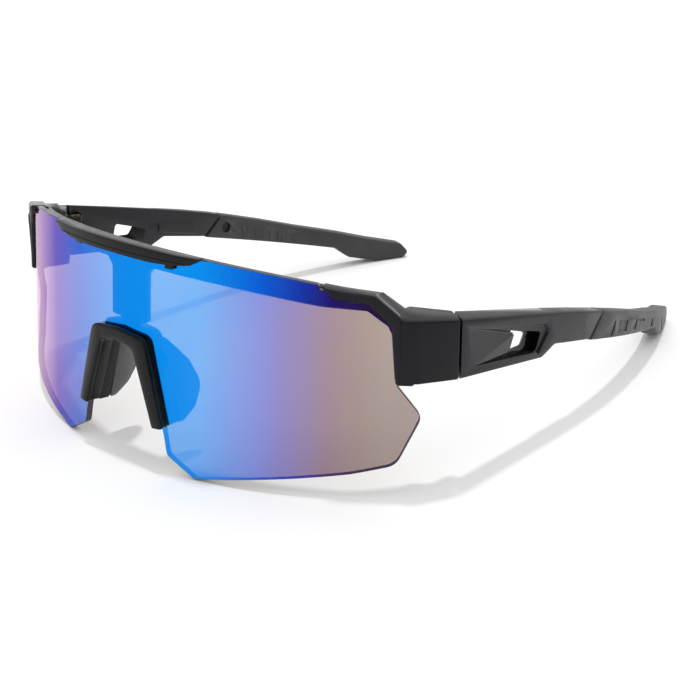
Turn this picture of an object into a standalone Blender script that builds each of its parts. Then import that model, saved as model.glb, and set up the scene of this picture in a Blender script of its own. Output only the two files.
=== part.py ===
"""Wraparound sport sunglasses: shield lens, front frame, nose piece and two folding temples.

Sizes are in millimetres and become metres where a mesh is made. X is across the face, with
the wearer's left side at +X, the lens faces -Y and Z is up. The glasses stand open on a
surface at Z = 0, on the lower corners of the lens and on the ends of the temples.
"""

import math

import bmesh
import bpy
from mathutils import Matrix, Vector

MM = 0.001
GAP = 0.3
ORIGIN_Y = 86.75

# Lens: a cylinder whose axis leans back, unrolled into across (s), height (h), outward (d).
LENS_RADIUS = 94.8
LENS_LEAN = math.radians(4.2)
LENS_THICK = 1.8
TOP_HEIGHT = 54.3
TOP_FALL = 0.00102
SLICE = 6.0

# Front frame
RAIL_THICK = 2.2
RAIL_DROP = 0.8
RAIL_HEIGHT = 5.7
POST_HALF = 6.1
POST_FOOT = 34.7
LIP = 1.6
RAIL_FRONT = -LENS_THICK - GAP
RAIL_BACK = RAIL_FRONT - RAIL_THICK
WEB_BACK = -3.2
WEB_SLOPE = 0.25
WEB_SWEEP = 0.5
WEB_DROP = 0.09

# End block and hinge
BLOCK_FLOOR = 27.8
FLOOR_RISE = 0.045
BLOCK_TOP = 42.1
BLOCK_RISE = 0.105
TOP_TILT = 0.1
SIDE_X = 72.9
HINGE = (67.0, 43.2)
KNUCKLE = 2.4
LOWER_LUG = (29.4, 32.2)
MIDDLE = (32.5, 36.1)
UPPER_LUG = (36.4, 39.2)
JOINT_GAP = 0.35
SCREW = 0.8
SCREW_HEAD = 1.5
HEAD_HIGH = 1.1
INSERT = 1.5
PARTING_OUT = (72.9, 38.0)
PARTING_IN = (67.9, 41.7)
PARTING_GAP = 0.5

# Temples: flat to BEND_START, then bent inward along an arc.
ARM_THICK = 5.0
BEND_START = 82.0
BEND_RADIUS = 213.0
TIP_END = 176.5
TIP_PIN = (103.2, 22.4)
CAMBER = 0.22
CAMBER_FADE = 0.0038
SCOOP_START = 42.2
SCOOP_SLOPE = 0.095
LEDGE_SLOPE = 0.02
WINDOW_LEVEL = 70.9
WINDOW_FLARE = 1.3
WINDOW_FALL = 0.65
WINDOW_EASE = 0.5

# Brow clips and nose piece
CLIP_S = 15.7
CLIP_H = 52.3
CLIP_PIN = 0.7
NOSE_FRONT = 1.9
NOSE_BACK = -5.0
PAD_THICK = 2.2
PAD_FOOT = 12.8
PAD_SPLAY = 0.27
PAD_FLARE = 0.3
STEM_THICK = 0.6

BLACK = (0.012, 0.012, 0.013)


def clear_scene():
    for obj in list(bpy.data.objects):
        bpy.data.objects.remove(obj, do_unlink=True)


def collection(name):
    made = bpy.data.collections.new(name)
    bpy.context.scene.collection.children.link(made)
    return made


def material(name, color, roughness, metallic=0.0, transmission=0.0):
    made = bpy.data.materials.new(name)
    made.use_nodes = True
    shader = made.node_tree.nodes["Principled BSDF"]
    shader.inputs["Base Color"].default_value = (*color, 1.0)
    shader.inputs["Roughness"].default_value = roughness
    shader.inputs["Metallic"].default_value = metallic
    shader.inputs["Transmission Weight"].default_value = transmission
    made.diffuse_color = (*color, 1.0)
    return made


def rounded(corners, steps=3):
    """The outline with each corner (x, y, radius) turned into a short arc."""
    made = []
    for i, (x, y, radius) in enumerate(corners):
        here = Vector((x, y))
        before = Vector(corners[i - 1][:2]) - here
        after = Vector(corners[(i + 1) % len(corners)][:2]) - here
        if radius == 0:
            made.append((x, y))
            continue
        half = before.angle(after) / 2
        reach = min(radius / math.tan(half), 0.48 * before.length, 0.48 * after.length)
        start, end = here + before.normalized() * reach, here + after.normalized() * reach
        for k in range(steps + 1):
            t = k / steps
            made.append(tuple(start * (1 - t) ** 2 + here * 2 * t * (1 - t) + end * t**2))
    return made


def mirrored(half):
    """A symmetric outline from its right half, listed from the top to the bottom."""
    left = [(-x, y, r) for x, y, r in reversed(half) if x > 0]
    return half + left


def grown(outline, amount):
    """The outline with every point moved outward, for a clearance."""
    area = sum(a[0] * b[1] - b[0] * a[1] for a, b in zip(outline, outline[1:] + outline[:1]))
    side = math.copysign(amount, area)
    made = []
    for i, point in enumerate(outline):
        here = Vector(point)
        into = (here - Vector(outline[i - 1])).normalized()
        out = (Vector(outline[(i + 1) % len(outline)]) - here).normalized()
        normal = Vector((into.y + out.y, -into.x - out.x))
        normal *= side / max(0.3, 1 + into.dot(out))
        made.append(tuple(here + normal))
    return made


def slab(name, outline, low, high):
    """A flat outline in XY, extruded along Z from low to high, as a mesh in millimetres."""
    curve = bpy.data.curves.new(name, "CURVE")
    curve.dimensions = "2D"
    curve.fill_mode = "BOTH"
    curve.extrude = (high - low) / 2
    spline = curve.splines.new("POLY")
    spline.points.add(len(outline) - 1)
    for point, (x, y) in zip(spline.points, outline):
        point.co = (x, y, 0, 1)
    spline.use_cyclic_u = True
    obj = bpy.data.objects.new(name, curve)
    bpy.context.scene.collection.objects.link(obj)
    mesh = evaluated_mesh(obj)
    bm = bmesh.new()
    bm.from_mesh(mesh)
    bmesh.ops.remove_doubles(bm, verts=bm.verts, dist=0.001)
    bmesh.ops.dissolve_limit(bm, angle_limit=0.01, verts=bm.verts, edges=bm.edges)
    bmesh.ops.recalc_face_normals(bm, faces=bm.faces)
    bmesh.ops.translate(bm, verts=bm.verts, vec=(0, 0, (low + high) / 2))
    bm.to_mesh(mesh)
    bm.free()
    return solid(name, mesh)


def solid(name, mesh):
    obj = bpy.data.objects.new(name, mesh)
    bpy.context.scene.collection.objects.link(obj)
    return obj


def evaluated_mesh(obj):
    """The object's mesh with its modifiers applied. The object itself is removed."""
    bpy.context.view_layer.update()
    graph = bpy.context.evaluated_depsgraph_get()
    mesh = bpy.data.meshes.new_from_object(obj.evaluated_get(graph))
    bpy.data.objects.remove(obj, do_unlink=True)
    return mesh


def bevelled(obj, width, segments=2, angle=40):
    modifier = obj.modifiers.new("edges", "BEVEL")
    modifier.width = width
    modifier.segments = segments
    modifier.limit_method = "ANGLE"
    modifier.angle_limit = math.radians(angle)
    modifier.use_clamp_overlap = True
    return solid(obj.name, evaluated_mesh(obj))


def combined(obj, other, operation):
    """The object joined with, or cut by, the other one, which is removed."""
    modifier = obj.modifiers.new(operation.lower(), "BOOLEAN")
    modifier.operation = operation
    modifier.solver = "EXACT"
    modifier.object = other
    made = solid(obj.name, evaluated_mesh(obj))
    bpy.data.objects.remove(other, do_unlink=True)
    return made


def cylinder(name, radius, low, high, across=(0, 0), sides=24):
    """A round bar along Z."""
    bm = bmesh.new()
    bmesh.ops.create_cone(
        bm, cap_ends=True, segments=sides, radius1=radius, radius2=radius, depth=high - low
    )
    bmesh.ops.translate(bm, verts=bm.verts, vec=(*across, (low + high) / 2))
    mesh = bpy.data.meshes.new(name)
    bm.to_mesh(mesh)
    bm.free()
    return solid(name, mesh)


def box(name, low, high):
    bm = bmesh.new()
    bmesh.ops.create_cube(bm, size=1)
    for v in bm.verts:
        v.co = Vector(b if c > 0 else a for a, b, c in zip(low, high, v.co))
    mesh = bpy.data.meshes.new(name)
    bm.to_mesh(mesh)
    bm.free()
    return solid(name, mesh)


def turned(obj, matrix):
    obj.data.transform(matrix)
    return obj


def sliced(obj, axis, cuts):
    """Adds edge loops across the object, so that it can be bent."""
    bm = bmesh.new()
    bm.from_mesh(obj.data)
    for cut in cuts:
        place = Vector((0, 0, 0))
        place[axis] = cut
        normal = Vector((0, 0, 0))
        normal[axis] = 1
        geometry = bm.verts[:] + bm.edges[:] + bm.faces[:]
        bmesh.ops.bisect_plane(bm, geom=geometry, dist=0.0005, plane_co=place, plane_no=normal)
    bm.to_mesh(obj.data)
    bm.free()


def triangulated(obj):
    """Splits faces that are no longer flat, so that a Boolean can read them."""
    bm = bmesh.new()
    bm.from_mesh(obj.data)
    bmesh.ops.triangulate(bm, faces=bm.faces)
    bm.to_mesh(obj.data)
    bm.free()
    return obj


def steps(low, high, step):
    count = round((high - low) / step)
    return [low + (high - low) * i / count for i in range(count + 1)]


def on_lens(s, h, d):
    """The place of a point that is s across, h up and d in front of the lens."""
    angle = s / LENS_RADIUS
    deep = LENS_RADIUS - (LENS_RADIUS + d) * math.cos(angle)
    return Vector((
        (LENS_RADIUS + d) * math.sin(angle),
        h * math.sin(LENS_LEAN) + deep * math.cos(LENS_LEAN),
        h * math.cos(LENS_LEAN) - deep * math.sin(LENS_LEAN),
    ))


def wrapped(obj):
    """Bends a flat piece, whose XYZ are s, h and d, round the lens."""
    sliced(obj, 0, steps(-78, 78, SLICE))
    for v in obj.data.vertices:
        v.co = on_lens(*v.co)
    return obj


def top(s):
    return TOP_HEIGHT - TOP_FALL * s * s


def finished(obj, name, group, finish, pivot=(0, 0)):
    """Turns a piece from millimetres to metres, with its origin at the pivot, and files it."""
    bm = bmesh.new()
    bm.from_mesh(obj.data)
    bmesh.ops.remove_doubles(bm, verts=bm.verts, dist=0.0005)
    bmesh.ops.dissolve_degenerate(bm, edges=bm.edges, dist=0.0005)
    bmesh.ops.triangulate(bm, faces=bm.faces)
    bm.to_mesh(obj.data)
    bm.free()
    obj.data.transform(Matrix.Translation((-pivot[0], -pivot[1], 0)))
    obj.data.transform(Matrix.Scale(MM, 4))
    obj.location = (pivot[0] * MM, (pivot[1] - ORIGIN_Y) * MM, 0)
    obj.name = name
    obj.data.name = name
    obj.data.materials.clear()
    obj.data.materials.append(finish)
    obj.data.shade_smooth()
    obj.data.set_sharp_from_angle(angle=math.radians(35))
    for holder in list(obj.users_collection):
        holder.objects.unlink(obj)
    group.objects.link(obj)
    return obj


def other_side(obj, name, group):
    """The same piece for the other side, as its own mesh."""
    mesh = obj.data.copy()
    mesh.transform(Matrix.Scale(-1, 4, (1, 0, 0)))
    mesh.flip_normals()
    made = bpy.data.objects.new(name, mesh)
    made.location = (-obj.location.x, obj.location.y, obj.location.z)
    mesh.name = name
    group.objects.link(made)
    return made


def pair(obj, name, group, finish, pivot=(0, 0)):
    """Files a piece as the left one, and its mirror image as the right one."""
    left = finished(obj, name + "_left", group, finish, pivot)
    other_side(left, name + "_right", group)


# ---- lens -------------------------------------------------------------------------------


def lens_outline():
    edge = [(s, top(s), 0) for s in (0, 13, 26, 39, 51.7)]
    hidden = [(52.0, 50.4, 0), (63.9, 49.0, 0), (69.6, 43.9, 0), (71.5, 42.0, 0), (71.5, 31.2, 0)]
    side = [(70.3, 29.4, 0), (76.4, 22.1, 3.0), (71.1, 10.2, 4.5)]
    foot = [(60.8, 7.5, 0), (37.5, 3.1, 0), (22.9, 0.35, 2.0), (14.9, 4.6, 2.0)]
    notch = [(14.0, 9.0, 0), (7.8, 31.3, 2.5), (0, 32.3, 0)]
    return rounded(mirrored(edge + hidden + side + foot + notch))


def lens_blank(clearance=0.0):
    outline = grown(lens_outline(), clearance) if clearance else lens_outline()
    return slab("lens_blank", outline, -LENS_THICK - clearance, clearance)


def clip_hole(side, radius, low, high):
    return cylinder("clip_hole", radius, low, high, (side * CLIP_S, CLIP_H), 16)


def lens(group, finish):
    blank = bevelled(lens_blank(), 0.25, 1, 60)
    for side in (1, -1):
        blank = combined(blank, clip_hole(side, CLIP_PIN + 0.2, -5, 5), "DIFFERENCE")
    finished(wrapped(blank), "lens", group, finish)


# ---- front frame --------------------------------------------------------------------------


def rail():
    """The bar behind the lens, with the centre post that holds the nose piece."""
    upper = [(s, top(s) - RAIL_DROP, 0) for s in (0, 13, 26, 39, 52, 64.4)]
    lower = [(s, top(s) - RAIL_HEIGHT, 0) for s in (52, 39, 26)]
    corner = [(70.2, 45.0, 0), (68.5, 40.5, 0), (67.6, 42.3, 0), (62.7, 45.6, 0)]
    post = [(POST_HALF + 2.0, 48.5, 0), (POST_HALF, 46.6, 0), (POST_HALF, POST_FOOT, 0)]
    outline = rounded(mirrored(upper + corner + lower + post))
    made = bevelled(slab("rail", outline, RAIL_BACK, RAIL_FRONT), 0.4, 1)
    tongue = box("tongue", (-3, 32.6, RAIL_BACK + 0.6), (3, POST_FOOT + 1, RAIL_FRONT - 0.5))
    return combined(made, tongue, "UNION")


def hook(side):
    """The lip in front of the corner of the lens, down to the end block."""
    corners = [
        (52.4, 51.5, 0), (64.4, top(64.4), 0), (70.4, 45.2, 0), (74.0, 45.0, 0), (74.0, 29.8, 0),
        (69.8, 29.8, 0), (68.2, 43.2, 0), (62.9, 48.1, 0), (55.2, 48.7, 0.8),
    ]
    outline = [(side * s, h) for s, h in rounded(corners)]
    return bevelled(slab("hook", outline, RAIL_FRONT - 0.6, LIP), 0.5, 1)


def web(side):
    """The body of the corner behind the lens, which gets deeper towards the end block."""
    start = 52.4
    corners = [
        (start, 51.2, 0), (64.4, top(64.4) - 0.55, 0), (70.4, 45.0, 0), (72.5, 44.9, 0),
        (72.5, 40.0, 0), (68.2, 42.0, 0), (62.7, 45.7, 0), (56.0, 46.5, 0),
    ]
    outline = [(side * s, h) for s, h in rounded(corners)]
    made = slab("web", outline, RAIL_BACK, RAIL_FRONT + 0.5)
    for v in made.data.vertices:
        if v.co.z < RAIL_FRONT:
            v.co.z = WEB_BACK - WEB_SLOPE * (abs(v.co.x) - start)
            v.co.x += side * WEB_SWEEP * (RAIL_FRONT - v.co.z)
            v.co.y -= WEB_DROP * (RAIL_FRONT - v.co.z)
    return bevelled(made, 0.4, 1)


def block(side):
    """The end block, from the edge of the lens to the hinge."""
    plan = [
        (65.5, 26.3, 0), (68.4, 28.8, 1.5), (*PARTING_OUT, 0), (*PARTING_IN, 0),
        (60.2, 35.2, 1.0), (61.0, 29.6, 0),
    ]
    outline = [(side * x, y) for x, y in rounded(plan)]
    made = slab("block", outline, BLOCK_FLOOR, BLOCK_TOP)
    for v in made.data.vertices:
        ahead, inward = PARTING_OUT[1] - v.co.y, SIDE_X - abs(v.co.x)
        if v.co.z > BLOCK_TOP - 1:
            v.co.z += BLOCK_RISE * ahead + TOP_TILT * inward * (1 - ahead / 14)
        else:
            v.co.z += FLOOR_RISE * ahead
    return bevelled(made, 0.6, 2, 50)


def lug(side, low, high):
    """A hinge lug: a disc round the pin with a neck that runs into the block."""
    x, y = HINGE
    disc = cylinder("lug", KNUCKLE, low, high, (side * x, y), 32)
    xs = sorted((side * (x - KNUCKLE + 0.05), side * (x + KNUCKLE - 0.05)))
    neck = box("neck", (xs[0], y - 5.0, low), (xs[1], y, high))
    return combined(disc, neck, "UNION")


def pin_hole(side, radius, low, high):
    return cylinder("hole", radius, low, high, (side * HINGE[0], HINGE[1]), 20)


def front_frame(group, finish):
    flat = rail()
    for side in (1, -1):
        flat = combined(flat, hook(side), "UNION")
        flat = combined(flat, web(side), "UNION")
        flat = combined(flat, clip_hole(side, CLIP_PIN + 0.2, RAIL_BACK - 1, 5), "DIFFERENCE")
    made = wrapped(flat)
    for side in (1, -1):
        made = combined(made, block(side), "UNION")
        swept = pin_hole(side, KNUCKLE + JOINT_GAP, MIDDLE[0] - 0.31, MIDDLE[1] + 0.31)
        made = combined(made, swept, "DIFFERENCE")
        for low, high in (LOWER_LUG, UPPER_LUG):
            made = combined(made, lug(side, low, high), "UNION")
        made = combined(made, pin_hole(side, SCREW + 0.2, 20, UPPER_LUG[1] + 1), "DIFFERENCE")
        bore = pin_hole(side, SCREW_HEAD + 0.2, 20, LOWER_LUG[0] + HEAD_HIGH + 0.2)
        made = combined(made, bore, "DIFFERENCE")
        seat = pin_hole(side, INSERT + 0.15, UPPER_LUG[0] - 0.2, UPPER_LUG[1] + 1)
        made = combined(made, seat, "DIFFERENCE")
    groove = wrapped(lens_blank(GAP))
    made = combined(made, groove, "DIFFERENCE")
    finished(made, "front_frame", group, finish)


# ---- brow cap and its clips -----------------------------------------------------------------


def brow_cap(group, finish):
    """The trim strip in front of the top of the lens."""
    upper = [(s, top(s) + 0.3, 0) for s in (0, 12)] + [(25.6, 54.3, 0.6)]
    lower = [(22.4, 52.5, 0), (17.5, 51.7, 0), (12, 51.4, 0)]
    outline = rounded(mirrored(upper + lower + [(0, 51.5, 0)]))
    made = slab("brow_cap", outline, GAP, 2.5)
    for v in made.data.vertices:
        if v.co.z > 1 and v.co.y < 53.2:
            v.co.y += 0.35
    made = bevelled(made, 0.35, 2)
    for side in (1, -1):
        low, high = sorted((side * (CLIP_S - 1.6), side * (CLIP_S + 1.6)))
        pocket = box("pocket", (low, 49, 0), (high, CLIP_H + 1.3, 1.25))
        made = combined(made, pocket, "DIFFERENCE")
    finished(wrapped(made), "brow_cap", group, finish)


def lens_clip(group, finish):
    """A clip whose pin runs through the lens into the rail, with its foot below the cap."""
    foot = box("foot", (CLIP_S - 1.2, 50.3, GAP), (CLIP_S + 1.2, CLIP_H + 0.9, 0.95))
    foot = bevelled(foot, 0.2, 1)
    pin = cylinder("pin", CLIP_PIN, RAIL_BACK + 0.4, GAP + 0.3, (CLIP_S, CLIP_H), 16)
    pair(wrapped(combined(foot, pin, "UNION")), "lens_clip", group, finish)


# ---- nose piece -------------------------------------------------------------------------------


def nose_ring(name, outer, low, high):
    """One layer of the nose bracket: an upside-down U with the same opening in every layer."""
    inner = [(11.7, 11.0, 0.6), (5.4, 29.4, 2.5), (0, 30.2, 0)]
    crown = [(0, outer[-1][1] + 0.9, 0)]
    right = crown + list(reversed(outer)) + inner
    return slab(name, rounded(mirrored(right)), low, high)


def nose_bracket(group, finish):
    front = nose_ring("front", [(14.6, 11.2, 0.7), (8.9, 32.4, 2.8)], GAP, NOSE_FRONT)
    front = bevelled(front, 0.45, 2)
    core = nose_ring("core", [(12.9, 11.9, 0.5), (7.4, 31.0, 2.5)], -2.2, 0.6)
    back = nose_ring("back", [(14.4, 11.0, 0.8), (8.9, 33.2, 3.0)], NOSE_BACK, -LENS_THICK - GAP)
    back = bevelled(back, 0.4, 1)
    made = combined(combined(front, core, "UNION"), back, "UNION")
    socket = box("socket", (-3.3, 32.3, RAIL_BACK + 0.3), (3.3, 40, 0))
    made = wrapped(combined(made, socket, "DIFFERENCE"))
    for side in (1, -1):
        slot = turned(stem_blade(GAP), Matrix.Scale(side, 4, (1, 0, 0)))
        if side < 0:
            slot.data.flip_normals()
        made = combined(made, slot, "DIFFERENCE")
    finished(made, "nose_bracket", group, finish)


def behind_bracket(obj):
    """Maps a leaf, whose XYZ are back, up and aside, to its place behind the nose bracket."""
    for v in obj.data.vertices:
        back, up, aside = v.co
        across = PAD_FOOT - PAD_SPLAY * (up - 10.5) + PAD_FLARE * back + aside
        v.co = on_lens(across, up, NOSE_BACK - GAP - back)
    return obj


def stem_blade(extra=0.0):
    """The blade that a pad is moulded on to, with its foot in the bracket."""
    outline = [(-1.7, 17.5), (5.0, 17.5), (5.0, 24.5), (-1.7, 24.5)]
    if extra:
        outline = grown(outline, extra)
    half = STEM_THICK / 2 + extra
    return behind_bracket(slab("stem", outline, -half, half))


def pad_stem(group, finish):
    pair(stem_blade(), "pad_stem", group, finish)


def nose_pad(group, finish):
    """A soft wing that runs back from the nose bracket, along the side of the nose."""
    leaf = [
        (0, 11.0, 0.8), (0, 31.6, 0.8), (1.6, 30.6, 1.5), (6.4, 25.0, 5.0),
        (8.9, 18.8, 5.0), (5.9, 13.6, 4.0), (2.0, 11.0, 2.0),
    ]
    made = bevelled(slab("nose_pad", rounded(leaf, 4), -PAD_THICK / 2, PAD_THICK / 2), 0.7, 2)
    made = combined(behind_bracket(made), stem_blade(GAP), "DIFFERENCE")
    pair(made, "nose_pad", group, finish)


# ---- hinge hardware ---------------------------------------------------------------------------


def hinge_screw(group, finish):
    head = cylinder("head", SCREW_HEAD, LOWER_LUG[0] + 0.1, LOWER_LUG[0] + HEAD_HIGH, HINGE, 24)
    shank = cylinder("shank", SCREW, LOWER_LUG[0] + 0.6, UPPER_LUG[1] - 0.6, HINGE, 16)
    made = combined(head, shank, "UNION")
    for angle in (0, 90):
        slot = box("slot", (-0.95, -0.17, 0), (0.95, 0.17, LOWER_LUG[0] + 0.55))
        turned(slot, Matrix.Translation((*HINGE, 0)) @ Matrix.Rotation(math.radians(angle), 4, "Z"))
        made = combined(made, slot, "DIFFERENCE")
    pair(made, "hinge_screw", group, finish)


def hinge_insert(group, finish):
    """The brass tube that the hinge screw is threaded into."""
    tube = cylinder("tube", INSERT, UPPER_LUG[0] + 0.1, UPPER_LUG[1] - 0.1, HINGE, 24)
    bore = pin_hole(1, SCREW + 0.15, 0, 60)
    pair(combined(tube, bore, "DIFFERENCE"), "hinge_insert", group, finish)


# ---- temples --------------------------------------------------------------------------------


def upright(obj, x=0.0):
    """Stands a flat piece up: its X becomes Y, its Y becomes Z and its Z becomes X."""
    for v in obj.data.vertices:
        v.co = Vector((v.co.z + x, v.co.x, v.co.y))
    return obj


def bent(obj):
    """Bends a straight temple piece inward behind BEND_START."""
    sliced(obj, 1, steps(BEND_START, BEND_START + 99, 9))
    middle = SIDE_X - ARM_THICK / 2
    for v in obj.data.vertices:
        if v.co.y > BEND_START:
            angle = (v.co.y - BEND_START) / BEND_RADIUS
            reach = BEND_RADIUS + v.co.x - middle
            v.co.x = middle - BEND_RADIUS + reach * math.cos(angle)
            v.co.y = BEND_START + reach * math.sin(angle)
    return obj


def arm_top(y):
    """Height of the temple's upper edge: straight at first, then falling faster."""
    late = max(0.0, y - 75)
    return 42.1 - 0.228 * (y - 38.2) - 0.0011 * late * late


def temple_body():
    upper = [(y, arm_top(y), 0) for y in (34, 75, 88, 101.4)]
    lower = [(94.4, 21.1, 0), (77.6, 24.8, 2.5), (72.0, 22.9, 2.5), (34, 28.4, 0)]
    plate = slab("temple_arm", rounded(upper + lower), SIDE_X - ARM_THICK, SIDE_X)
    for v in plate.data.vertices:
        if v.co.y > arm_top(v.co.x) - 1:
            behind = v.co.x - PARTING_OUT[1]
            v.co.y += max(0.0, CAMBER - CAMBER_FADE * behind) * (SIDE_X - v.co.z)
    return upright(bevelled(plate, 0.7, 2, 50))


def scoop():
    """A V-shaped recess that gets deeper towards its rear wall."""
    outer = [(SCOOP_START, 38.9, 0), (71.7, 29.8, 1.0), (69.6, 25.3, 1.5), (43.2, 29.5, 0)]
    inner = [(57.4, 28.9, 0), (59.4, 33.0, 0)]
    made = slab("scoop", rounded(outer + inner), SIDE_X - 4, SIDE_X + 2)
    for v in made.data.vertices:
        if v.co.z < SIDE_X:
            v.co.z = SIDE_X - 0.15 - SCOOP_SLOPE * (v.co.x - SCOOP_START)
    return upright(made)


def ledge():
    """A shallow step round the top and the rear of the scoop, with a slanted wall."""
    outer = [(SCOOP_START, 39.3, 0), (73.6, 31.9, 1.5), (75.5, 30.0, 1.5), (70.4, 24.9, 0)]
    inner = [(69.0, 26.0, 0), (70.5, 29.6, 1.0), (SCOOP_START, 38.6, 0)]
    made = slab("ledge", rounded(outer + inner), SIDE_X - 1, SIDE_X + 1)
    for v in made.data.vertices:
        deep = 0.05 + LEDGE_SLOPE * (v.co.x - SCOOP_START)
        if v.co.z < SIDE_X:
            v.co.z = SIDE_X - deep
            v.co.x -= deep
            v.co.y -= deep
    return upright(triangulated(made))


def window():
    """The opening in the floor of the scoop, which widens towards the inside."""
    corners = [(60.5, 32.9, 0.6), (66.8, 30.9, 1.0), (64.9, 28.0, 1.0), (58.2, 28.6, 0.6)]
    made = slab("window", rounded(corners), SIDE_X - 6, SIDE_X + 1)
    for v in made.data.vertices:
        inward = WINDOW_LEVEL - v.co.z
        rear = v.co.x > 62
        v.co.x += (WINDOW_FLARE if rear else -WINDOW_EASE) * inward
        if rear or v.co.y < 31:
            v.co.y -= WINDOW_FALL * inward
    return upright(triangulated(made))


def front_end(made):
    """Cuts the temple's front end along the parting line and clears the hinge lugs."""
    across = Vector((PARTING_IN[0] - PARTING_OUT[0], PARTING_IN[1] - PARTING_OUT[1]))
    angle = math.atan2(across.y, across.x)
    ahead = box("ahead", (-20, 0, 0), (30, 20, 60))
    turn = Matrix.Rotation(angle, 4, "Z")
    normal = Vector((-across.y, across.x)).normalized() * -PARTING_GAP
    place = Matrix.Translation((PARTING_OUT[0] + normal.x, PARTING_OUT[1] + normal.y, 0))
    turned(ahead, place @ turn)
    made = combined(made, ahead, "DIFFERENCE")
    x, y = HINGE
    for low, high in (LOWER_LUG, UPPER_LUG):
        round_part = cylinder("room", KNUCKLE + JOINT_GAP, low - 0.3, high + 0.3, HINGE, 32)
        reach = x + KNUCKLE + JOINT_GAP - 0.02
        ahead = box("room_ahead", (x - 6, y - 9, low - 0.3), (reach, y, high + 0.3))
        made = combined(made, combined(round_part, ahead, "UNION"), "DIFFERENCE")
    made = combined(made, cylinder("knuckle", KNUCKLE, *MIDDLE, HINGE, 32), "UNION")
    return combined(made, pin_hole(1, SCREW + 0.2, 20, 60), "DIFFERENCE")


def tongue(extra=0.0):
    """The core at the rear of the arm, which the soft tip slides over."""
    upper = [(88, 28.0, 0), (112, 22.0, 0), (142, 12.6, 1.2)]
    outline = rounded(upper + [(141, 10.3, 1.2), (112, 18.3, 0), (88, 24.0, 0)])
    if extra:
        outline = grown(outline, extra)
    low, high = SIDE_X - 3.7 - extra, SIDE_X - 1.3 + extra
    return upright(slab("tongue", outline, low, high))


def cross_pin(name, radius, low, high):
    return upright(cylinder(name, radius, low, high, TIP_PIN, 20))


def temple_arm(group, finish):
    made = temple_body()
    for cut in (ledge(), scoop(), window()):
        made = combined(made, cut, "DIFFERENCE")
    made = front_end(made)
    pill = [(75.5, 29.8, 1.8), (91, 26.0, 1.8), (90.2, 23.0, 1.8), (74.7, 26.8, 1.8)]
    boss = slab("boss", rounded(pill), SIDE_X - ARM_THICK - 0.5, SIDE_X - ARM_THICK + 0.5)
    made = combined(made, upright(bevelled(boss, 0.3, 1)), "UNION")
    made = combined(made, tongue(), "UNION")
    made = combined(made, cross_pin("hole", 1.1, 60, 80), "DIFFERENCE")
    pair(bent(made), "temple_arm", group, finish, HINGE)


def tip_outline():
    upper = [(101.9, arm_top(101.9), 0), (118, arm_top(118), 0), (133, 17.0, 0), (149, 12.3, 0)]
    end = [(161, 8.5, 0), (173.5, 5.1, 2.0), (TIP_END, 1.8, 1.2), (174.5, 0.0, 0.8)]
    lower = [(164, 0.1, 3.0), (153, 3.0, 1.5), (147.5, 7.1, 1.5), (119, 14.6, 0), (94.9, 20.7, 0)]
    return rounded(upper + end + lower)


def temple_tip(group, finish):
    low, high = SIDE_X - ARM_THICK - 0.1, SIDE_X + 0.1
    made = upright(bevelled(slab("temple_tip", tip_outline(), low, high), 1.0, 2, 50))
    made = combined(made, tongue(GAP), "DIFFERENCE")
    made = combined(made, cross_pin("hole", 1.75, 60, SIDE_X - 3.5), "DIFFERENCE")
    pair(bent(made), "temple_tip", group, finish, HINGE)


def tip_pin(group, finish):
    """The pin that locks the soft tip on the arm, with its head on the inner side."""
    head = cross_pin("head", 1.5, SIDE_X - 4.4, SIDE_X - 3.8)
    shank = cross_pin("shank", 0.85, SIDE_X - 4.1, SIDE_X - 1.5)
    pair(bent(combined(head, shank, "UNION")), "tip_pin", group, finish, HINGE)


def main():
    clear_scene()
    group = collection("sport_sunglasses")
    matte = material("matte_black", BLACK, 0.5)
    gloss = material("gloss_black", (0.006, 0.006, 0.007), 0.15)
    rubber = material("rubber", (0.02, 0.02, 0.022), 0.75)
    mirror = material("mirror_lens", (0.02, 0.12, 0.45), 0.04, 0.3, 0.6)
    steel = material("steel", (0.5, 0.5, 0.5), 0.3, 1.0)
    brass = material("brass", (0.7, 0.5, 0.2), 0.35, 1.0)
    lens(group, mirror)
    front_frame(group, matte)
    brow_cap(group, gloss)
    lens_clip(group, gloss)
    nose_bracket(group, gloss)
    nose_pad(group, rubber)
    pad_stem(group, steel)
    hinge_screw(group, steel)
    hinge_insert(group, brass)
    temple_arm(group, matte)
    temple_tip(group, rubber)
    tip_pin(group, gloss)


main()
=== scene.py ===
"""Looks of the wraparound sport sunglasses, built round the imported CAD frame.

Flat drawings are in millimetres. A piece becomes metres when it is placed in the frame.
"""

import math

import bmesh
import bpy
from mathutils import Matrix, Vector


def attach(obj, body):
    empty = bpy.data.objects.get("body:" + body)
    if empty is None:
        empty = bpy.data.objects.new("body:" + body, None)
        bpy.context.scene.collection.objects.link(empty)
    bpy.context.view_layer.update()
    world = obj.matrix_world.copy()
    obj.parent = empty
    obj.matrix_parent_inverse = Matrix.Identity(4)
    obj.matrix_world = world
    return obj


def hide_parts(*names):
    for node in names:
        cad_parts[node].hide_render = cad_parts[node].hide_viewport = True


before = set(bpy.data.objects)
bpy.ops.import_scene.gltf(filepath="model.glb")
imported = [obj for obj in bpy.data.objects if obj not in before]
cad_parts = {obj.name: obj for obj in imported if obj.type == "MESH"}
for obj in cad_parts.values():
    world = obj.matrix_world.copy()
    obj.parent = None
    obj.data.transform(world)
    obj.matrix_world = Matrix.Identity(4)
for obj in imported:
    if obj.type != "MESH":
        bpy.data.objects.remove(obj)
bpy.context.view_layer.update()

MM = 0.001
ORIGIN_Y = 86.75

# Lens, unrolled: across (s), height (h) and outward (d), as in the CAD.
LENS_RADIUS = 94.8
LENS_LEAN = math.radians(4.2)
LENS_THICK = 1.8
LENS_EDGE = 0.22
LENS_SLICE = 1.25
LENS_REACH = 78
TOP_HEIGHT = 54.3
TOP_FALL = 0.00102

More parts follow.
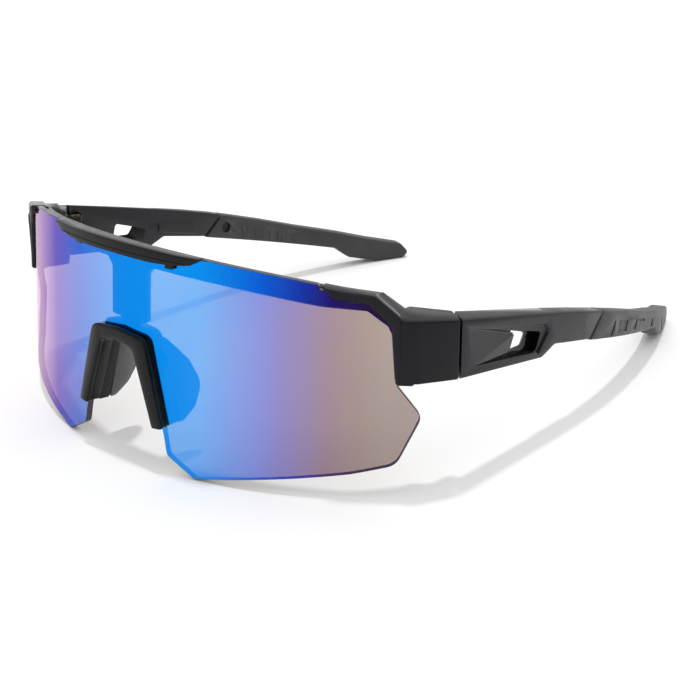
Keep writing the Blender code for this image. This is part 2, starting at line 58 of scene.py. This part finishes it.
# The lens's three materials, and how square to the sheet a face is to count as front or back.
COATED, BARE, CUT_EDGE = 0, 1, 2
SQUARE_ENOUGH = 0.9
SHEET_LIFT = 0.07

# Glossy cap over the nose: how far its back, front and details stand from the lens.
CAP_BACK = 0.3
CAP_FRONT = 2.5
CAP_EDGE = 0.45
GROOVE_FLOOR = 2.3
POCKET_ACROSS = (14.1, 17.3)
POCKET_UP = (49, 53.6)
POCKET_DEEP = 1.25

# Temples: straight to BEND_START, then bent inward along an arc.
SIDE_X = 72.9
ARM_THICK = 5.0
BEND_START = 82.0
BEND_RADIUS = 213.0
BEND_REACH = 99.0
BEND_SLICE = 3.0

# The polished recess of each temple, as ranges along, up and outward.
RECESS_ALONG = (44, 74)
RECESS_UP = (25, 37)
RECESS_OUT = (SIDE_X - 3.4, SIDE_X - 0.75)

# Soft tips: how far out the cuts on the outer side and the grooves on the inner side stop.
CUT_FLOOR = SIDE_X - 0.22
RIB_FLOOR = SIDE_X - ARM_THICK - 0.03
RIB_COUNT = 7
RIB_FIRST = 110.5
RIB_STEP = 3.1
RIB_WIDE = 1
RIB_TALL = 4.7
RIB_LEAN = 0.3
TIP_START = 101
TIP_UP = 24.3
TIP_FALL = 0.31

# Radii of broken edges. Where two faces turn more than these degrees, the edge is rounded
# or shaded sharp.
FRAME_EDGE = 0.22
ARM_EDGE = 0.12
TIP_EDGE = 0.16
BRACKET_EDGE = 0.15
PAD_EDGE = 0.2
EDGE_ANGLE = 28
SHADE_ANGLE = 40

# Points in a drawn corner's arc, and the share of a side that one arc may take.
ARC_STEPS = 6
ARC_SHARE = 0.48

# Studio. Places and sizes here are in metres, and angles are in degrees.
FLOOR_SIZE = 30
FLOOR_DROP = 0.0001
FLOOR_WHITE = 0.92
SKY_LOW = 0.72
SKY_HIGH = 1.05
SUN_TOWARD = (-0.05, 0.04, 1.0)
SUN_POWER = 0.95
SUN_ANGLE = 4
CAMERA_PLACE = (0.243616, -0.198340 - ORIGIN_Y * MM, 0.148105)
CAMERA_AZIMUTH = 40.65
CAMERA_ELEVATION = 21.26
CAMERA_LENS = 72.27

# Half of the width that the lens colours are spread over, in metres.
COLOR_REACH = 0.072

# Turned metal's grain is finer along its height than across it.
TURNED = (1, 1, 8)


# ---- mesh helpers ---------------------------------------------------------------------------


def rounded(corners):
    """The outline with each corner (x, y, radius) turned into a short arc."""
    made = []
    for i, (x, y, radius) in enumerate(corners):
        here = Vector((x, y))
        before = Vector(corners[i - 1][:2]) - here
        after = Vector(corners[(i + 1) % len(corners)][:2]) - here
        if radius == 0:
            made.append((x, y))
            continue
        half = before.angle(after) / 2
        most = ARC_SHARE * min(before.length, after.length)
        reach = min(radius / math.tan(half), most)
        start, end = here + before.normalized() * reach, here + after.normalized() * reach
        for k in range(ARC_STEPS + 1):
            t = k / ARC_STEPS
            made.append(tuple(start * (1 - t) ** 2 + here * 2 * t * (1 - t) + end * t**2))
    return made


def mirrored(half):
    """A symmetric outline from its half on the +X side, listed from top to bottom."""
    left = [(-x, y, r) for x, y, r in reversed(half) if x > 0]
    return half + left


def from_bmesh(name, bm):
    mesh = bpy.data.meshes.new(name)
    bm.to_mesh(mesh)
    bm.free()
    obj = bpy.data.objects.new(name, mesh)
    bpy.context.scene.collection.objects.link(obj)
    return obj


def slab(name, outline, low, high):
    """A flat outline in XY, extruded along Z from low to high."""
    bm = bmesh.new()
    face = bm.faces.new([bm.verts.new((x, y, low)) for x, y in outline])
    extruded = bmesh.ops.extrude_face_region(bm, geom=[face])
    for v in extruded["geom"]:
        if isinstance(v, bmesh.types.BMVert):
            v.co.z = high
    bmesh.ops.recalc_face_normals(bm, faces=bm.faces)
    return from_bmesh(name, bm)


def applied(obj):
    """The object with its modifiers applied, under the same name."""
    bpy.context.view_layer.update()
    graph = bpy.context.evaluated_depsgraph_get()
    mesh = bpy.data.meshes.new_from_object(obj.evaluated_get(graph))
    obj.modifiers.clear()
    obj.data = mesh
    return obj


def bevelled(obj, width, segments=2, angle=EDGE_ANGLE):
    """The object with its edges rounded by width, in the units of its mesh."""
    modifier = obj.modifiers.new("edges", "BEVEL")
    modifier.width = width
    modifier.segments = segments
    modifier.limit_method = "ANGLE"
    modifier.angle_limit = math.radians(angle)
    modifier.use_clamp_overlap = True
    modifier.miter_outer = "MITER_ARC"
    return applied(obj)


def cut_by(obj, cutter):
    """The object with the cutter's shape taken out of it. The cutter is removed."""
    modifier = obj.modifiers.new("cut", "BOOLEAN")
    modifier.operation = "DIFFERENCE"
    modifier.solver = "EXACT"
    modifier.object = cutter
    applied(obj)
    bpy.data.objects.remove(cutter, do_unlink=True)
    return obj


def sliced(obj, low, high, step):
    """Cuts edge loops across a drawing from low to high along X, so that it can be bent."""
    bm = bmesh.new()
    bm.from_mesh(obj.data)
    count = round((high - low) / step)
    for i in range(count + 1):
        place = Vector((low + (high - low) * i / count, 0, 0))
        geometry = bm.verts[:] + bm.edges[:] + bm.faces[:]
        bmesh.ops.bisect_plane(bm, geom=geometry, dist=0.0005, plane_co=place, plane_no=(1, 0, 0))
    bm.to_mesh(obj.data)
    bm.free()


def on_lens(s, h, d):
    """The place of a point that is s across, h up and d in front of the lens."""
    angle = s / LENS_RADIUS
    deep = LENS_RADIUS - (LENS_RADIUS + d) * math.cos(angle)
    x = (LENS_RADIUS + d) * math.sin(angle)
    y = h * math.sin(LENS_LEAN) + deep * math.cos(LENS_LEAN)
    z = h * math.cos(LENS_LEAN) - deep * math.sin(LENS_LEAN)
    return Vector((x, y, z))


def wrapped(obj):
    """Bends a flat piece, whose XYZ are s, h and d, round the lens."""
    sliced(obj, -LENS_REACH, LENS_REACH, LENS_SLICE)
    for v in obj.data.vertices:
        v.co = on_lens(*v.co)
    return obj


def top(s):
    """The height of the lens's upper edge."""
    return TOP_HEIGHT - TOP_FALL * s * s


def on_temple(obj, side):
    """Stands a flat temple drawing up (XYZ become along, up and outward) and bends it."""
    sliced(obj, BEND_START, BEND_START + BEND_REACH, BEND_SLICE)
    middle = SIDE_X - ARM_THICK / 2
    for v in obj.data.vertices:
        along, up, out = v.co
        angle = max(0.0, along - BEND_START) / BEND_RADIUS
        reach = BEND_RADIUS + out - middle
        x = middle - BEND_RADIUS + reach * math.cos(angle)
        y = min(along, BEND_START) + reach * math.sin(angle)
        v.co = Vector((side * x, y, up))
    if side < 0:
        obj.data.flip_normals()
    return obj


def to_metres(obj):
    obj.data.transform(Matrix.Translation((0, -ORIGIN_Y, 0)))
    obj.data.transform(Matrix.Scale(MM, 4))


def to_millimetres(obj):
    obj.data.transform(Matrix.Scale(1 / MM, 4))
    obj.data.transform(Matrix.Translation((0, ORIGIN_Y, 0)))
    return obj


def cad_copy(node, name):
    """A copy of a CAD node's shape, in millimetres, with its flat areas made whole again."""
    bm = bmesh.new()
    bm.from_mesh(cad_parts[node].data)
    bmesh.ops.remove_doubles(bm, verts=bm.verts, dist=0.000001)
    bmesh.ops.dissolve_limit(bm, angle_limit=0.012, verts=bm.verts, edges=bm.edges)
    return to_millimetres(from_bmesh(name, bm))


def shaded(obj, angle=SHADE_ANGLE):
    obj.data.shade_smooth()
    obj.data.set_sharp_from_angle(angle=math.radians(angle))
    return obj


def painted(obj, *finishes):
    obj.data.materials.clear()
    for finish in finishes:
        obj.data.materials.append(finish)


def placed(obj, body, slot_name, *nodes):
    """A finished piece in millimetres, put in the frame in place of its CAD nodes."""
    to_metres(obj)
    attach(obj, body)
    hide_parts(*nodes)


# ---- materials --------------------------------------------------------------------------------


def new_material(name):
    made = bpy.data.materials.new(name)
    made.use_nodes = True
    tree = made.node_tree
    tree.nodes.clear()
    output = tree.nodes.new("ShaderNodeOutputMaterial")
    return made, tree, output


def place_of(tree, scale=(1, 1, 1)):
    where = tree.nodes.new("ShaderNodeTexCoord")
    mapping = tree.nodes.new("ShaderNodeMapping")
    mapping.inputs["Scale"].default_value = scale
    tree.links.new(where.outputs["Object"], mapping.inputs["Vector"])
    return mapping.outputs["Vector"]


def noise(tree, where, scale, detail=3.0, rough=0.5):
    made = tree.nodes.new("ShaderNodeTexNoise")
    made.inputs["Scale"].default_value = scale
    made.inputs["Detail"].default_value = detail
    made.inputs["Roughness"].default_value = rough
    tree.links.new(where, made.inputs["Vector"])
    return made.outputs["Fac"]


def ramp(tree, factor, stops):
    made = tree.nodes.new("ShaderNodeValToRGB")
    elements = made.color_ramp.elements
    while len(elements) < len(stops):
        elements.new(0.5)
    for element, (place, color) in zip(elements, stops):
        element.position = place
        element.color = (*color, 1.0)
    tree.links.new(factor, made.inputs["Fac"])
    return made.outputs["Color"]


def spread(tree, factor, low, high):
    made = tree.nodes.new("ShaderNodeMapRange")
    made.inputs["From Min"].default_value = 0.3
    made.inputs["From Max"].default_value = 0.7
    made.inputs["To Min"].default_value = low
    made.inputs["To Max"].default_value = high
    tree.links.new(factor, made.inputs["Value"])
    return made.outputs["Result"]


def bump(tree, height, strength, distance):
    made = tree.nodes.new("ShaderNodeBump")
    made.inputs["Strength"].default_value = strength
    made.inputs["Distance"].default_value = distance
    tree.links.new(height, made.inputs["Height"])
    return made.outputs["Normal"]


def moulded(name, dark, light, rough, grain, depth, level, sheen=0.0):
    """Moulded plastic or rubber: fine grain, handling marks in the gloss, faint mottling."""
    made, tree, output = new_material(name)
    shader = tree.nodes.new("ShaderNodeBsdfPrincipled")
    where = place_of(tree)
    marks = noise(tree, where, scale=55, detail=5.0, rough=0.6)
    tree.links.new(ramp(tree, marks, [(0.35, dark), (0.7, light)]), shader.inputs["Base Color"])
    handled = noise(tree, where, scale=130, detail=4.0, rough=0.65)
    tree.links.new(spread(tree, handled, *rough), shader.inputs["Roughness"])
    fine = noise(tree, where, grain, detail=2.0)
    raised = bump(tree, fine, strength=0.5, distance=depth)
    tree.links.new(raised, shader.inputs["Normal"])
    shader.inputs["Specular IOR Level"].default_value = level
    shader.inputs["Sheen Weight"].default_value = sheen
    tree.links.new(shader.outputs["BSDF"], output.inputs["Surface"])
    return made


def metal(name, color, rough):
    """Turned metal with fine lines and a little tarnish."""
    made, tree, output = new_material(name)
    shader = tree.nodes.new("ShaderNodeBsdfPrincipled")
    lines = noise(tree, place_of(tree, TURNED), scale=900)
    stain = noise(tree, place_of(tree), scale=400, detail=4.0)
    dull = tuple(0.6 * c for c in color)
    tree.links.new(ramp(tree, stain, [(0.3, dull), (0.6, color)]), shader.inputs["Base Color"])
    tree.links.new(spread(tree, lines, rough - 0.08, rough + 0.1), shader.inputs["Roughness"])
    raised = bump(tree, lines, strength=0.3, distance=0.00001)
    tree.links.new(raised, shader.inputs["Normal"])
    shader.inputs["Metallic"].default_value = 1.0
    tree.links.new(shader.outputs["BSDF"], output.inputs["Surface"])
    return made


def across(tree):
    """0 to 1 across the face, from its right end to its left."""
    where = tree.nodes.new("ShaderNodeTexCoord")
    parts = tree.nodes.new("ShaderNodeSeparateXYZ")
    tree.links.new(where.outputs["Object"], parts.inputs["Vector"])
    made = tree.nodes.new("ShaderNodeMapRange")
    made.inputs["From Min"].default_value = -COLOR_REACH
    made.inputs["From Max"].default_value = COLOR_REACH
    tree.links.new(parts.outputs["X"], made.inputs["Value"])
    return made.outputs["Result"]


def stops_at(*rows):
    """Colour stops from rows of (x in millimetres, colour)."""
    return [((x * MM / COLOR_REACH + 1) / 2, color) for x, color in rows]


# Mirror colours across the lens: the coating's hue from purple to blue, with painted reflection in
# them, bright pinkish white towards the wearer's right end and near black towards the left end.
COATING_AND_PAINTED_REFLECTION_COLORS = stops_at(
    (-62, (0.70, 0.55, 0.62)),
    (-42, (0.42, 0.28, 0.50)),
    (-30, (0.14, 0.10, 0.46)),
    (-16, (0.03, 0.13, 0.58)),
    (0, (0.003, 0.22, 0.72)),
    (23, (0.002, 0.24, 0.76)),
    (38, (0.002, 0.09, 0.56)),
    (46, (0.006, 0.03, 0.32)),
    (52, (0.014, 0.006, 0.12)),
    (58, (0.012, 0.004, 0.05)),
)
TINT_COLORS = stops_at(
    (-62, (0.55, 0.46, 0.46)),
    (-27, (0.36, 0.32, 0.26)),
    (0, (0.34, 0.38, 0.24)),
    (24, (0.34, 0.36, 0.12)),
    (42, (0.47, 0.37, 0.18)),
    (52, (0.56, 0.45, 0.36)),
    (62, (0.62, 0.57, 0.50)),
)


def coating_and_painted_reflection():
    """The coated front of the lens: a mirror over a see-through tint. The mirror's colour shifts
    across the width, partly as the coating's own hue from purple to blue and partly as painted
    reflection: bright pinkish white towards the wearer's right end and near black towards the left
    end.
    """
    made, tree, output = new_material("coating_and_painted_reflection")
    mirror = tree.nodes.new("ShaderNodeBsdfAnisotropic")
    tree.links.new(ramp(tree, across(tree), COATING_AND_PAINTED_REFLECTION_COLORS), mirror.inputs["Color"])
    where = place_of(tree, scale=(1, 1, 0.4))
    smears = noise(tree, where, scale=60, detail=5.0, rough=0.6)
    tree.links.new(spread(tree, smears, 0.015, 0.06), mirror.inputs["Roughness"])
    clear = tree.nodes.new("ShaderNodeBsdfTransparent")
    tree.links.new(ramp(tree, across(tree), TINT_COLORS), clear.inputs["Color"])
    both = tree.nodes.new("ShaderNodeAddShader")
    tree.links.new(mirror.outputs["BSDF"], both.inputs[0])
    tree.links.new(clear.outputs["BSDF"], both.inputs[1])
    tree.links.new(both.outputs["Shader"], output.inputs["Surface"])
    return made


def tinted_back():
    """The bare back of the lens, which is mostly see-through."""
    made, tree, output = new_material("tinted_back")
    shine = tree.nodes.new("ShaderNodeBsdfAnisotropic")
    smears = noise(tree, place_of(tree), scale=80, detail=4.0, rough=0.6)
    tree.links.new(spread(tree, smears, 0.04, 0.12), shine.inputs["Roughness"])
    shine.inputs["Color"].default_value = (0.5, 0.5, 0.52, 1)
    clear = tree.nodes.new("ShaderNodeBsdfTransparent")
    cloud = noise(tree, place_of(tree), scale=30, detail=2.0)
    tint = ramp(tree, cloud, [(0.3, (0.60, 0.54, 0.47)), (0.7, (0.64, 0.58, 0.50))])
    tree.links.new(tint, clear.inputs["Color"])
    mix = tree.nodes.new("ShaderNodeMixShader")
    tree.links.new(spread(tree, smears, 0.01, 0.025), mix.inputs["Fac"])
    tree.links.new(clear.outputs["BSDF"], mix.inputs[1])
    tree.links.new(shine.outputs["BSDF"], mix.inputs[2])
    tree.links.new(mix.outputs["Shader"], output.inputs["Surface"])
    return made


def lens_edge():
    """The cut edge of the tinted sheet, darker than its faces."""
    made, tree, output = new_material("lens_edge")
    shader = tree.nodes.new("ShaderNodeBsdfPrincipled")
    where = place_of(tree)
    cloud = noise(tree, where, scale=300)
    color = ramp(tree, cloud, [(0.3, (0.03, 0.028, 0.035)), (0.7, (0.06, 0.055, 0.065))])
    tree.links.new(color, shader.inputs["Base Color"])
    wear = noise(tree, where, scale=900)
    tree.links.new(spread(tree, wear, 0.18, 0.35), shader.inputs["Roughness"])
    tree.links.new(shader.outputs["BSDF"], output.inputs["Surface"])
    return made


SATIN = moulded(
    "satin_black",
    dark=(0.009, 0.009, 0.012),
    light=(0.013, 0.013, 0.017),
    rough=(0.30, 0.42),
    grain=3500,
    depth=0.000005,
    level=0.3,
)
FRAME_BLACK = moulded(
    "frame_black",
    dark=(0.004, 0.004, 0.006),
    light=(0.006, 0.006, 0.009),
    rough=(0.18, 0.30),
    grain=4200,
    depth=0.000008,
    level=0.2,
)
GLOSS = moulded(
    "gloss_black",
    dark=(0.0015, 0.0015, 0.002),
    light=(0.003, 0.003, 0.004),
    rough=(0.05, 0.12),
    grain=1200,
    depth=0.000003,
    level=0.22,
)
RUBBER = moulded(
    "soft_rubber",
    dark=(0.022, 0.022, 0.024),
    light=(0.036, 0.036, 0.039),
    rough=(0.50, 0.68),
    grain=3200,
    depth=0.00003,
    level=0.4,
    sheen=0.15,
)
PAD_RUBBER = moulded(
    "pad_rubber",
    dark=(0.035, 0.035, 0.037),
    light=(0.055, 0.055, 0.058),
    rough=(0.36, 0.5),
    grain=2600,
    depth=0.00001,
    level=0.45,
    sheen=0.2,
)
STEEL = metal("turned_steel", color=(0.56, 0.57, 0.58), rough=0.3)
BRASS = metal("turned_brass", color=(0.72, 0.52, 0.24), rough=0.34)


# ---- pieces -------------------------------------------------------------------------------------


def lens_outline():
    """The unrolled lens, as (s, h, corner radius). The hidden stretch lies behind the frame."""
    edge = [(s, top(s), 0) for s in (0, 8, 16, 24, 32, 40, 46, 51.7)]
    hidden = [(52.0, 50.4, 0), (63.9, 49.0, 0), (69.6, 43.9, 0), (71.5, 42.0, 0), (71.5, 31.2, 0)]
    side = [(70.3, 29.4, 0), (76.4, 22.1, 3.0), (71.1, 10.2, 4.5)]
    foot = [(60.8, 7.5, 20), (37.5, 3.1, 20), (22.9, 0.35, 2.0), (14.9, 4.6, 2.0)]
    notch = [(14.0, 9.0, 0), (7.8, 31.3, 2.5), (0, 32.3, 0)]
    return rounded(mirrored(edge + hidden + side + foot + notch))


def lens_material(face):
    """Which of the three materials a face of the bent lens has, from where it points."""
    sideways = math.sin(face.center.x / LENS_RADIUS)
    forward = math.cos(math.atan2(face.center.x, LENS_RADIUS))
    outward = Vector((sideways, -forward, SHEET_LIFT)).normalized()
    facing = face.normal.dot(outward)
    if facing > SQUARE_ENOUGH:
        return COATED
    if facing < -SQUARE_ENOUGH:
        return BARE
    return CUT_EDGE


def shield_lens():
    """The lens, with its coating in front, its bare back and its darker cut edges."""
    made = slab("shield_lens", lens_outline(), -LENS_THICK, 0)
    made = bevelled(made, LENS_EDGE, angle=60)
    made = shaded(wrapped(made), angle=18)
    painted(made, coating_and_painted_reflection(), tinted_back(), lens_edge())
    for face in made.data.polygons:
        face.material_index = lens_material(face)
    placed(made, "front", "mirror_lens", "lens")


def brow_trim():
    """The glossy cap above the nose, with a fine groove along it and pockets for the clips."""
    upper = [(s, top(s) + 0.3, 0) for s in (0, 6, 12, 18)] + [(25.6, 54.3, 0.6)]
    lower = [(22.4, 52.5, 1.5), (17.5, 51.7, 4), (12, 51.4, 0)]
    outline = rounded(mirrored(upper + lower + [(0, 51.5, 0)]))
    made = slab("brow_trim", outline, CAP_BACK, CAP_FRONT)
    made = bevelled(made, CAP_EDGE, segments=3, angle=40)
    line = [(-21, 52.4), (21, 52.55), (21, 52.75), (-21, 52.6)]
    made = cut_by(made, slab("groove", line, GROOVE_FLOOR, CAP_FRONT + 1.5))
    bottom, top_end = POCKET_UP
    for side in (1, -1):
        low, high = sorted(side * s for s in POCKET_ACROSS)
        corners = [(low, bottom), (high, bottom), (high, top_end), (low, top_end)]
        made = cut_by(made, slab("pocket", corners, 0, POCKET_DEEP))
    made = shaded(wrapped(made), angle=30)
    painted(made, GLOSS)
    placed(made, "front", "gloss_black", "brow_cap")


def softened(node, name, body, slot_name, finish, width):
    """A CAD node's shape with every hard edge broken by a small radius."""
    made = bevelled(cad_copy(node, name), width)
    shaded(made)
    painted(made, finish)
    placed(made, body, slot_name, node)


# Outlines of the cuts in the outer side of a soft tip, as (along, up).
GRIP_CUTS = [
    [(108.6, 21.9), (109.6, 21.9), (107.2, 18.3), (106.2, 18.3)],
    [(111.8, 21.2), (118.4, 19.0), (117.1, 16.4), (111.0, 18.4)],
    [(125.3, 17.1), (126.5, 17.0), (124.5, 14.4), (123.2, 14.5)],
    [(126.9, 16.9), (133.4, 14.7), (133.3, 14.1), (126.9, 16.2)],
    [(142.0, 11.8), (143.2, 11.6), (141.9, 9.4), (140.7, 9.6)],
    [(158.0, 6.9), (159.0, 6.8), (160.4, 2.4), (159.3, 2.4)],
]


def temple_side(side, word):
    """The temple, with satin sides and a polished recess."""
    made = bevelled(cad_copy("temple_arm_" + word, "arm_" + word), ARM_EDGE)
    shaded(made)
    painted(made, SATIN, GLOSS)
    for face in made.data.polygons:
        out, along, up = side * face.center.x, face.center.y, face.center.z
        spans = ((along, RECESS_ALONG), (up, RECESS_UP), (out, RECESS_OUT))
        face.material_index = int(all(low < place < high for place, (low, high) in spans))
    placed(made, "temple_" + word, "matte_black", "temple_arm_" + word)


def rib_corners(i):
    """The outline of one groove on the inner side of a tip, which follows the tip's fall."""
    along = RIB_FIRST + RIB_STEP * i
    up = TIP_UP - TIP_FALL * (along - TIP_START)
    end, end_up = along + RIB_WIDE, up - RIB_LEAN
    return [(along, up), (end, end_up), (end, end_up - RIB_TALL), (along, up - RIB_TALL)]


def grip_tip(side, word):
    """The soft tip, with grip cuts in its outer side and shallow grooves in its inner side."""
    made = cad_copy("temple_tip_" + word, "grip_tip_" + word)
    for corners in GRIP_CUTS:
        cut = on_temple(slab("cut", corners, CUT_FLOOR, SIDE_X + 2), side)
        made = cut_by(made, cut)
    for i in range(RIB_COUNT):
        cut = on_temple(slab("rib", rib_corners(i), SIDE_X - 8, RIB_FLOOR), side)
        made = cut_by(made, cut)
    made = bevelled(made, TIP_EDGE)
    shaded(made)
    painted(made, RUBBER)
    placed(made, "temple_" + word, "rubber", "temple_tip_" + word)


def finish_nodes():
    """Better materials on the small CAD nodes that keep their own shape."""
    for side in ("left", "right"):
        for node, finish in (
            ("lens_clip_", GLOSS),
            ("pad_stem_", STEEL),
            ("hinge_screw_", STEEL),
            ("hinge_insert_", BRASS),
            ("tip_pin_", GLOSS),
        ):
            painted(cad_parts[node + side], finish)


# ---- stage --------------------------------------------------------------------------------------


def floor():
    bm = bmesh.new()
    bmesh.ops.create_grid(bm, x_segments=1, y_segments=1, size=FLOOR_SIZE)
    made = from_bmesh("floor", bm)
    made.location.z = -FLOOR_DROP
    surface, tree, output = new_material("paper_floor")
    shader = tree.nodes.new("ShaderNodeBsdfDiffuse")
    shader.inputs["Color"].default_value = (FLOOR_WHITE, FLOOR_WHITE, FLOOR_WHITE, 1)
    tree.links.new(shader.outputs["BSDF"], output.inputs["Surface"])
    painted(made, surface)


def sky(scene):
    """A studio that is bright overhead and dimmer near the horizon."""
    world = bpy.data.worlds.new("studio")
    world.use_nodes = True
    tree = world.node_tree
    where = tree.nodes.new("ShaderNodeTexCoord")
    parts = tree.nodes.new("ShaderNodeSeparateXYZ")
    tree.links.new(where.outputs["Generated"], parts.inputs["Vector"])
    low, high = (SKY_LOW,) * 3, (SKY_HIGH,) * 3
    stops = [(0.0, low), (0.42, low), (0.7, high)]
    glow = ramp(tree, parts.outputs["Z"], stops)
    tree.links.new(glow, tree.nodes["Background"].inputs["Color"])
    tree.nodes["Background"].inputs["Strength"].default_value = 1.0
    scene.world = world


def lights():
    scene = bpy.context.scene
    sky(scene)
    lamp = bpy.data.lights.new("overhead", "SUN")
    lamp.energy = SUN_POWER
    lamp.angle = math.radians(SUN_ANGLE)
    key = bpy.data.objects.new("overhead", lamp)
    scene.collection.objects.link(key)
    key.rotation_euler = Vector(SUN_TOWARD).to_track_quat("Z", "Y").to_euler()


def camera():
    """The view from the front left of the wearer, a little above."""
    scene = bpy.context.scene
    data = bpy.data.cameras.new("camera")
    data.lens = CAMERA_LENS
    data.sensor_width = 36
    data.clip_start = 0.01
    made = bpy.data.objects.new("camera", data)
    scene.collection.objects.link(made)
    made.location = CAMERA_PLACE
    azimuth, elevation = math.radians(CAMERA_AZIMUTH), math.radians(CAMERA_ELEVATION)
    flat = math.cos(elevation)
    back = Vector((math.sin(azimuth) * flat, -math.cos(azimuth) * flat, math.sin(elevation)))
    made.rotation_euler = back.to_track_quat("Z", "Y").to_euler()
    scene.camera = made
    scene.view_settings.view_transform = "Standard"


def main():
    shield_lens()
    brow_trim()
    softened("front_frame", "front_shell", "front", "matte_black", FRAME_BLACK, FRAME_EDGE)
    softened("nose_bracket", "nose_clip", "front", "gloss_black", GLOSS, BRACKET_EDGE)
    for side, word in ((1, "left"), (-1, "right")):
        pad = "nose_pad_" + word
        softened(pad, "soft_pad_" + word, "front", "rubber", PAD_RUBBER, PAD_EDGE)
        temple_side(side, word)
        grip_tip(side, word)
    finish_nodes()
    floor()
    lights()
    camera()


main()
